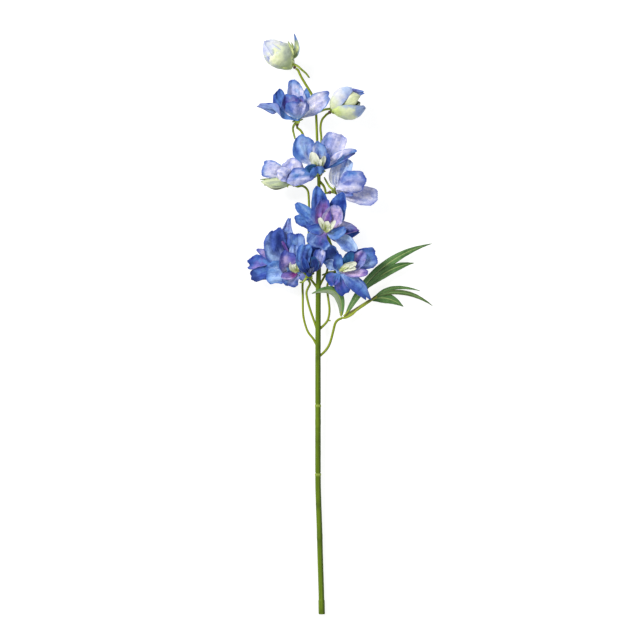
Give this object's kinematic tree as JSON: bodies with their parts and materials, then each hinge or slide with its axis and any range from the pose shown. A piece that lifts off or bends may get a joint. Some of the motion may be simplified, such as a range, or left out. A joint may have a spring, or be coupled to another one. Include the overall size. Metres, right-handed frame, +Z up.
{
  "type": "delphinium flower spike",
  "caption": "Artificial delphinium spike lying flat: fabric blooms, buds and leaves in blue and violet on thin stalks from a long green plastic stem.",
  "frame": {"origin": "middle of the footprint, on the surface that the spike lies on", "axes": "+Y along the stem from its cut end towards the top bud, +X to the leaves' side, +Z up from the surface towards the viewer of the picture"},
  "size_m": [0.1924, 0.6101, 0.0494],
  "materials": {
    "stem_green": "moulded yellow-green plastic, satin, darker olive on its shaded side",
    "calyx_green": "moulded pale green plastic",
    "collar_brown": "dark red-brown glossy bead",
    "leaf_green": "printed mid-green fabric with a paler midrib",
    "bee_cream": "cream-white frayed tuft",
    "petal_pale_green": "pale yellow-green fabric with lilac and blue rims",
    "petal_pale_lilac": "pale lilac fabric, mottled, with bluer rims",
    "petal_sky_blue": "light blue to lilac fabric with deeper blue rims",
    "petal_royal_blue": "royal blue fabric, mottled like watercolour",
    "petal_violet": "violet to pink-lilac fabric with blue rims"
  },
  "bodies": {
    "root": {"stem": "stem_green", "leaf_1": "leaf_green", "leaf_2": "leaf_green", "leaf_3": "leaf_green", "bud_1_collar": "collar_brown", "bud_1_calyx": "calyx_green", "bud_1_outer_petals": "petal_pale_green", "bud_1_inner_petals": "petal_pale_lilac", "bloom_2_collar": "collar_brown", "bloom_2_calyx": "calyx_green", "bloom_2_outer_petals": "petal_sky_blue", "bloom_2_inner_petals": "petal_pale_lilac", "bloom_2_bee": "bee_cream", "bud_3_collar": "collar_brown", "bud_3_calyx": "calyx_green", "bud_3_outer_petals": "petal_pale_lilac", "bud_3_inner_petals": "petal_pale_green", "bloom_4_collar": "collar_brown", "bloom_4_calyx": "calyx_green", "bloom_4_outer_petals": "petal_sky_blue", "bloom_4_inner_petals": "petal_pale_lilac", "bloom_4_bee": "bee_cream", "bud_5_collar": "collar_brown", "bud_5_calyx": "calyx_green", "bud_5_outer_petals": "petal_pale_green", "bud_5_inner_petals": "petal_pale_lilac", "bloom_6_collar": "collar_brown", "bloom_6_calyx": "calyx_green", "bloom_6_outer_petals": "petal_sky_blue", "bloom_6_inner_petals": "petal_violet", "bloom_6_bee": "bee_cream", "bloom_7_collar": "collar_brown", "bloom_7_calyx": "calyx_green", "bloom_7_outer_petals": "petal_royal_blue", "bloom_7_inner_petals": "petal_violet", "bloom_7_bee": "bee_cream", "bloom_8_collar": "collar_brown", "bloom_8_calyx": "calyx_green", "bloom_8_outer_petals": "petal_royal_blue", "bloom_8_inner_petals": "petal_violet", "bloom_8_bee": "bee_cream", "bloom_9_collar": "collar_brown", "bloom_9_calyx": "calyx_green", "bloom_9_outer_petals": "petal_royal_blue", "bloom_9_inner_petals": "petal_royal_blue", "bloom_9_bee": "bee_cream", "bloom_10_collar": "collar_brown", "bloom_10_calyx": "calyx_green", "bloom_10_outer_petals": "petal_royal_blue", "bloom_10_inner_petals": "petal_violet", "bloom_10_bee": "bee_cream"}
  },
  "joints": []
}
